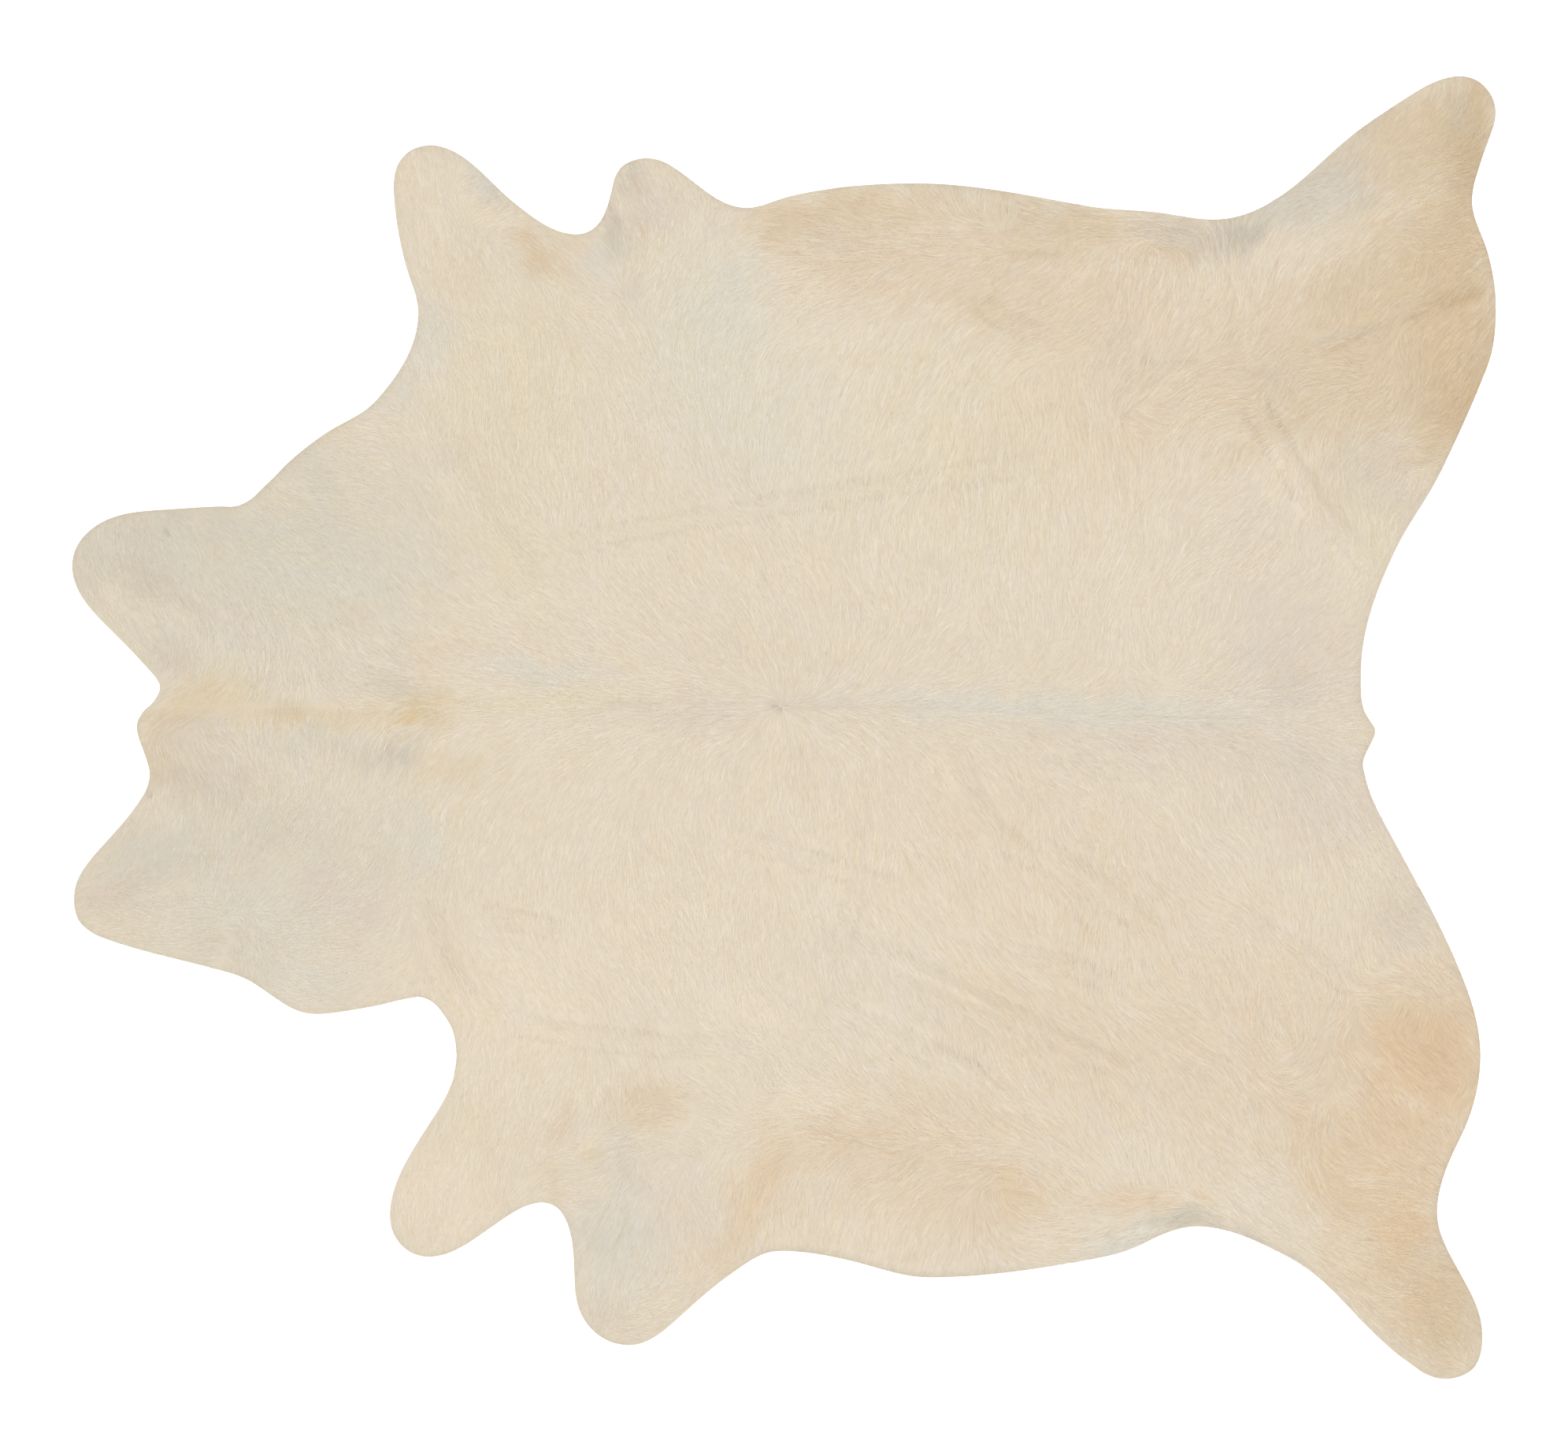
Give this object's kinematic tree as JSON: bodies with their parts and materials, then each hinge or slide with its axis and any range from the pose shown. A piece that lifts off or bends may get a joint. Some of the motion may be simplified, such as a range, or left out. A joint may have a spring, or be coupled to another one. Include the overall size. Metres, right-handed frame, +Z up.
{
  "type": "cowhide rug",
  "caption": "Flat hair-on cowhide rug in natural cream, one trimmed sheet with cheeks, legs and tail root and a few low soft folds, hair side up.",
  "frame": {"origin": "middle of the outline's box, on the floor under the flesh side", "axes": "+X towards the tail, +Y towards the animal's right side, +Z up out of the hair side"},
  "size_m": [2.205, 2.018, 0.0107],
  "materials": {
    "hair_on_hide": "natural cream hair lying flat, soft and matt, on tanned leather"
  },
  "bodies": {
    "root": {"hide": "hair_on_hide"}
  },
  "joints": []
}
